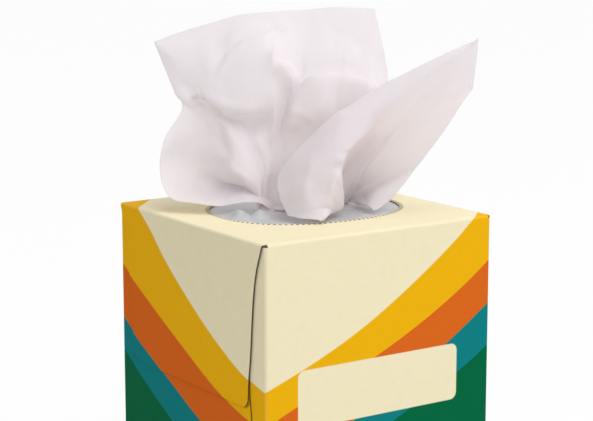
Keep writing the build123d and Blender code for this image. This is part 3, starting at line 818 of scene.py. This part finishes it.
# %% [markdown]
# Two passes of smooth curves turn the fold lines into a sheet. The first runs up each
# fold line, from the top of the clip through the slit to the free edge, and spaces its
# points evenly.

# %% Curves up the fold lines
curve_steps = 24
rows_above = 96
rows_below = 4
fold_scale = 0.982
clip_top = -12.6
slit_level = 0.2
fold_turn = math.radians(34.9)
turn_cos = math.cos(fold_turn)
turn_sin = math.sin(fold_turn)


def fold_curve(points):
    """A dense smooth line through points, with knots at the root of their spacing."""
    ends = np.vstack((2 * points[0] - points[1], points, 2 * points[-1] - points[-2]))
    pieces = []
    for a, b, c, d in zip(ends, ends[1:], ends[2:], ends[3:]):
        knots = np.cumsum([math.sqrt(np.linalg.norm(q - p)) for p, q in ((a, b), (b, c), (c, d))])
        k1, k2, k3 = knots
        k = np.linspace(k1, k2, curve_steps, endpoint=False)[:, None]
        ab = a + (b - a) * k / k1
        bc = b + (c - b) * (k - k1) / (k2 - k1)
        cd = c + (d - c) * (k - k2) / (k3 - k2)
        abc = ab + (bc - ab) * k / k2
        bcd = bc + (cd - bc) * (k - k1) / (k3 - k1)
        pieces.append(abc + (bcd - abc) * (k - k1) / (k2 - k1))
    return np.vstack(pieces + [points[-1:]])


def spaced(line, count):
    """Points at even steps along a dense line."""
    steps = np.linalg.norm(np.diff(line, axis=0), axis=1)
    along = np.concatenate(([0], np.cumsum(steps)))
    wanted = np.linspace(0, along[-1], count)
    return np.stack([np.interp(wanted, along, line[:, k]) for k in range(3)], axis=1)


def to_carton(points):
    """From the camera's right and away to the carton's x and y."""
    right, away, up = np.moveaxis(points, -1, 0)
    return np.stack((turn_cos * right + turn_sin * away, turn_cos * away - turn_sin * right, up), axis=-1)


def fold_column(foot, places):
    """One fold line from the top of the clip, through the slit, to the free edge."""
    x, y = np.array(foot) * fold_scale
    neck = np.array(((x, y, slit_level),))
    points = np.vstack((neck, to_carton(np.array(places) * fold_scale)))
    upper = spaced(fold_curve(points), rows_above)
    lower = np.linspace((x, y, clip_top), neck[0], rows_below, endpoint=False)
    return np.vstack((lower, upper))


print("points on a fold line:", rows_below + rows_above)

# %% [markdown]
# The second pass runs across the fan from fold to fold. A sharp fold swaps the neighbour
# on its far side for a straight run-on, so that the curve meets the fold at an angle.

# %% Sheet through the fold lines
columns_per_fold = 9


def sharpness(kind, shares):
    """How far a fold is kept sharp on its way to the free edge."""
    if kind == "crease":
        return np.ones_like(shares)
    if kind == "corner":
        return np.maximum(0, 2 * shares - 1) ** 2
    return np.zeros_like(shares)


def fan(folds, per_fold):
    """All columns of the sheet, with smooth columns between the folds."""
    lines = [fold_column(foot, places) for kind, foot, places in folds]
    kinds = [kind for kind, foot, places in folds]
    count = len(lines)
    shares = np.linspace(0, 1, len(lines[0]))
    columns = []
    for i in range(count):
        before, here, after, past = (lines[(i + k) % count] for k in (-1, 0, 1, 2))
        keep_here = sharpness(kinds[i], shares)[:, None]
        keep_after = sharpness(kinds[(i + 1) % count], shares)[:, None]
        before = before + keep_here * (2 * here - after - before)
        past = past + keep_after * (2 * after - here - past)
        for t in np.arange(per_fold) / per_fold:
            bend = 2 * before - 5 * here + 4 * after - past
            twist = 3 * here - before - 3 * after + past
            columns.append(here + t * (after - before + t * (bend + t * twist)) / 2)
    return np.array(columns)


def sheet_normals(points):
    """Unit normals of a sheet whose columns go right round."""
    across = np.roll(points, -1, axis=0) - np.roll(points, 1, axis=0)
    along = np.gradient(points, axis=1)
    normals = np.cross(across, along)
    return normals / np.linalg.norm(normals, axis=-1, keepdims=True)


folds_sheet = fan(fold_lines, columns_per_fold)
print("sheet:", folds_sheet.shape[0], "columns of", folds_sheet.shape[1], "points")

# %% [markdown]
# The fold lines carry the large folds. Faint folds cross them: the step where the back
# panel hangs over the lobe, the shelf on the rounded fold, the wrinkles of the lobe, and
# soft ridges on the wing and the flap. Each is a short line on one layer of the sheet,
# in millimetres to the right and up as the camera sees it.

# %% Faint folds
faint_folds = (
    # kind, first and last fold line of the layer, depth, width, line
    ("step", (9, 18), 1.2, 2.4, ((-47.8, 40), (-45.4, 42.6), (-42.3, 44.2), (-38.3, 43.4), (-32.8, 41.2),
                                 (-26.9, 39.4), (-20.5, 39.2), (-12.8, 40.4))),
    ("ridge", (8, 15), 0.35, 1.6, ((-46.9, 33.9), (-39.1, 35.7), (-33.6, 37.6), (-27.1, 39.7))),
    ("step", (12, 21), -0.6, 1.6, ((-36, 52.6), (-32.9, 58.8), (-29.5, 63.9), (-23.4, 68.4), (-16.2, 70.8),
                                   (-8, 74.1), (1.2, 78.5))),
    ("ridge", (12, 16), 0.35, 3.0, ((-39.2, 71.5), (-38.5, 62.1), (-36.5, 53.5))),
    ("step", (20, 24), 0.6, 2.0, ((-7.1, 40.6), (-3.3, 40.1), (0.7, 38.6), (4.9, 34.9))),
    ("ridge", (16, 21), -1.7, 1.7, ((-13, 15), (-12.2, 8), (-11.2, 1), (-10.6, -3))),
    ("ridge", (22, 26), 0.5, 2.0, ((22, 64.9), (18.1, 58.2), (15.8, 54.5))),
    ("ridge", (35, 39), 0.45, 2.2, ((63.6, 51.5), (54.6, 48.1), (45.7, 44.1), (37.6, 41.6))),
    ("ridge", (34, 38), 0.45, 2.2, ((55.7, 38.4), (47.2, 34.3), (40.5, 30.3))),
    ("ridge", (36, 39), -0.35, 2.0, ((61.3, 60.4), (55, 60.5), (48, 57))),
    ("ridge", (41, 47), 0.5, 2.0, ((5.5, 25.3), (2.8, 17.7), (0.6, 8.6))),
    ("ridge", (42, 48), 0.5, 1.8, ((16.5, 27), (15.9, 25), (12.3, 14.4), (9, 1), (8.5, -1))),
    ("ridge", (30, 36), -0.9, 1.3, ((20, 0), (22, 1.5), (28.4, 7.8), (35, 12), (40.5, 14.6), (45, 15.5),
                                    (48, 16))),
    ("ridge", (30, 35), 0.6, 1.6, ((24, 1.5), (26, 3.5), (31.5, 7.5), (37.5, 10), (41, 10.5), (43, 11))),
    ("ridge", (2, 9), 0.35, 1.3, ((-35.2, 15), (-34.9, 12.4), (-34.4, 6.8))),
    ("ridge", (2, 9), 0.35, 1.3, ((-30.2, 15), (-29.8, 12.4), (-28.9, 5.6))),
    ("ridge", (2, 9), 0.3, 1.2, ((-23.6, 10.5), (-23.4, 8.7), (-22.5, 4.3))),
    ("ridge", (4, 10), 0.35, 2.4, ((-36.3, 34.1), (-35, 25.8), (-34.6, 17.4))),
    ("ridge", (4, 10), 0.35, 2.4, ((-46.8, 35.3), (-47.9, 25.6), (-46.9, 15.7))),
)
print("faint folds:", len(faint_folds))

# %% [markdown]
# A ridge swells along its line. A step swells on one side of it, to the left as the line
# is walked, and sinks on the other. Both taper off towards the ends of the line. The
# lift is added along the sheet's normal, on the side that faces the camera.

# %% Sheet with its faint folds
faint_taper = 5


def faint_lift(points, kind, width, line):
    """Height of one faint fold at points to the right and up, from -1 to 1."""
    nearest = np.full(len(points), np.inf)
    lift = np.zeros(len(points))
    spots = np.array(line)
    steps = np.diff(spots, axis=0)
    lengths = np.linalg.norm(steps, axis=1)
    starts = np.concatenate(([0], np.cumsum(lengths)[:-1]))
    for spot, step, length, start in zip(spots, steps, lengths, starts):
        offset = points - spot
        along = np.clip(offset @ step / length ** 2, 0, 1)
        apart = np.linalg.norm(offset - along[:, None] * step, axis=1)
        side = np.sign(step[0] * offset[:, 1] - step[1] * offset[:, 0])
        share = (start + along * length) / lengths.sum()
        taper = np.clip(np.minimum(share, 1 - share) * faint_taper, 0, 1)
        reach = apart / width
        height = np.exp(-reach ** 2) * taper
        if kind == "step":
            height = height * side * reach * 2
        closer = apart < nearest
        nearest = np.where(closer, apart, nearest)
        lift = np.where(closer, height, lift)
    return lift


def with_faint_folds(points):
    """The sheet with each faint fold pressed into its layer, towards the camera."""
    moved = points.copy()
    normals = sheet_normals(points)
    towards = normals[..., 0] * turn_sin + normals[..., 1] * turn_cos
    normals = np.where(towards[..., None] > 0, -normals, normals)
    right = turn_cos * points[..., 0] - turn_sin * points[..., 1]
    flat = np.stack((right, points[..., 2]), axis=-1)
    for kind, (first, last), depth, width, line in faint_folds:
        layer = slice(first * columns_per_fold, last * columns_per_fold)
        lift = faint_lift(flat[layer].reshape(-1, 2), kind, width, line)
        lift = lift.reshape(flat[layer].shape[:2])[..., None]
        moved[layer] += normals[layer] * depth * lift
    return moved


creased_sheet = with_faint_folds(folds_sheet)
most = np.linalg.norm(creased_sheet - folds_sheet, axis=-1).max()
print("faint folds lift up to", round(float(most), 2), "mm")

# %% [markdown]
# Thin tissue never lies quite smooth. Fine pleats run out from the gather and fade
# within a few centimetres. A faint crumple covers the whole sheet: soft facets, nearly
# flat, that meet in fine creases, and a slow waviness. Voronoi cells give the facets,
# each with a lean of its own, and the weights blend them where they meet. All of it is
# added along the sheet's normal.

# %% Pleats and crumple
pleat_depth = 0.35
pleat_ring = 22
pleat_drift = 2.0
pleat_start = 10
pleat_fade = 4
crumple_depth = 0.2
crumple_scale = 0.07
crumple_falloff = 0.9
crumple_step = 2.0
crumple_octaves = 3
crumple_start = 3
facet_size = 15
facet_lean = 0.1
facet_blend = 14
lean_scale = 7.3
ply_thickness = 0.0002


def facet_height(place):
    """Height of the crumple's facets at a place in millimetres."""
    here = place / facet_size
    gaps, spots = noise.voronoi(here)
    total = 0
    height = 0
    for gap, spot in zip(gaps, spots):
        weight = math.exp(-facet_blend * (gap - gaps[0]))
        height += weight * (here - spot).dot(noise.noise_vector(spot * lean_scale))
        total += weight
    return height / total * facet_size * facet_lean


def ruffled(points):
    """The sheet with its pleats and crumple."""
    moved = points.copy()
    normals = sheet_normals(points)
    count, rows = points.shape[:2]
    for i in range(count):
        turn = 2 * math.pi * i / count
        for row in range(rows_below, rows):
            share = (row - rows_below) / (rows - 1 - rows_below)
            ring = Vector((math.cos(turn) * pleat_ring, math.sin(turn) * pleat_ring, share * pleat_drift))
            fading = min(1, share * pleat_start) * math.exp(-share * pleat_fade)
            pleat = noise.noise(ring) * pleat_depth * fading
            here = Vector(points[i, row])
            slow = noise.fractal(here * crumple_scale, crumple_falloff, crumple_step, crumple_octaves)
            crumple = slow * crumple_depth + facet_height(here)
            moved[i, row] += normals[i, row] * (pleat + crumple * min(1, share * crumple_start))
    return moved


tissue_points = ruffled(creased_sheet) / 1000 + np.array((0, 0, carton_top))
tissue = ring_mesh("raised_sheet", tissue_points.tolist())
tissue_area = sum(face.area for face in tissue.data.polygons)
ply = tissue.modifiers.new("two_ply", "SOLIDIFY")
ply.thickness = ply_thickness
ply.offset = 0
print("tissue:", len(tissue.data.polygons), "faces,", round(tissue_area * 1e4, 1), "cm2")

# %% [markdown]
# Tissue is white, matte and thin enough for light to come through from behind, so a
# translucent shader takes a share of the matte one. Its crepe is a fine bump of short
# ridges, and faint clouds of cooler and warmer white stand for the uneven fibres.

# %% Tissue finish
light_through = 0.5
tissue_finish, soft, soft_shader = new_finish("tissue_paper")
soft_place = own_place(soft)
clouds = speckle(soft, soft_place, 36, 3.0)
tissue_white = lay_over(soft, clouds, ink(242, 244, 253), ink(248, 243, 252))
connect(soft, soft_shader.inputs["Base Color"], tissue_white)
soft_shader.inputs["Roughness"].default_value = 0.95
soft_shader.inputs["Specular IOR Level"].default_value = 0.1
crepe = speckle(soft, soft_place, 1500, 2.0)
crepe_normal = rough_up(soft, crepe, 0.00012, 0.35)
connect(soft, soft_shader.inputs["Normal"], crepe_normal)
glow = soft.nodes.new("ShaderNodeBsdfTranslucent")
connect(soft, glow.inputs["Color"], ink(254, 248, 243))
connect(soft, glow.inputs["Normal"], crepe_normal)
blend(soft, light_through, soft_shader, glow)
tissue.data.materials.append(tissue_finish)
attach(tissue, "root")
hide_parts("raised_tissue")
print("tissue finish:", len(soft.nodes), "nodes")

# %% [markdown]
# ## Floor and light
#
# The photograph has a plain white ground and soft light from the upper front. A wide
# pale floor keeps the carton's shadow. Camera rays also see a share of plain white on
# it, so that it looks white without more light on the carton.

# %% Floor
floor_level = -0.0003
plain_share = 0.95
bpy.ops.mesh.primitive_circle_add(vertices=96, radius=6, fill_type="NGON", location=(0, 0, floor_level))
floor = bpy.context.object
floor.name = "floor"
floor_finish, ground, ground_shader = new_finish("pale_floor")
ground_shader.inputs["Base Color"].default_value = ink(248, 248, 247)
ground_shader.inputs["Roughness"].default_value = 0.9
white = ground.nodes.new("ShaderNodeEmission")
white.inputs["Strength"].default_value = 1.0
rays = ground.nodes.new("ShaderNodeLightPath")
seen = reckon(ground, "MULTIPLY", rays.outputs["Is Camera Ray"], plain_share)
blend(ground, seen, ground_shader, white)
floor.data.materials.append(floor_finish)
print("floor:", round(floor.dimensions.x), "m wide")

# %% [markdown]
# One large square lamp, above and in front, faces the mouth of the carton and gives the
# light its direction. A white sky fills the shadows. The camera, mirrors and clear things
# see that sky as plain white, though it lights the carton with less.

# %% Light
lamp_place = Vector((0.22, -0.62, 1.3))
lamp_size = 1.6
lamp_power = 15.8
sky_strength = 0.45

lamp = bpy.data.lights.new("key_lamp", "AREA")
lamp.size = lamp_size
lamp.energy = lamp_power
lamp_holder = bpy.data.objects.new("key_lamp", lamp)
lamp_holder.location = lamp_place
lamp_holder.rotation_euler = (aim - lamp_place).to_track_quat("-Z", "Y").to_euler()
scene.collection.objects.link(lamp_holder)

sky = bpy.data.worlds.new("studio")
scene.world = sky
sky.use_nodes = True
sky_tree = sky.node_tree
sky_fill = sky_tree.nodes["Background"]
sky_fill.inputs["Color"].default_value = (1, 1, 1, 1)
sky_fill.inputs["Strength"].default_value = sky_strength
sky_white = sky_tree.nodes.new("ShaderNodeBackground")
sky_white.inputs["Color"].default_value = (1, 1, 1, 1)
sky_white.inputs["Strength"].default_value = 1.0
sky_rays = sky_tree.nodes.new("ShaderNodeLightPath")
seen = reckon(sky_tree, "MAXIMUM", sky_rays.outputs["Is Camera Ray"], sky_rays.outputs["Is Glossy Ray"])
seen = reckon(sky_tree, "MAXIMUM", seen, sky_rays.outputs["Is Transmission Ray"])
blend(sky_tree, seen, sky_fill, sky_white, "World Output")
scene.view_settings.view_transform = "Standard"
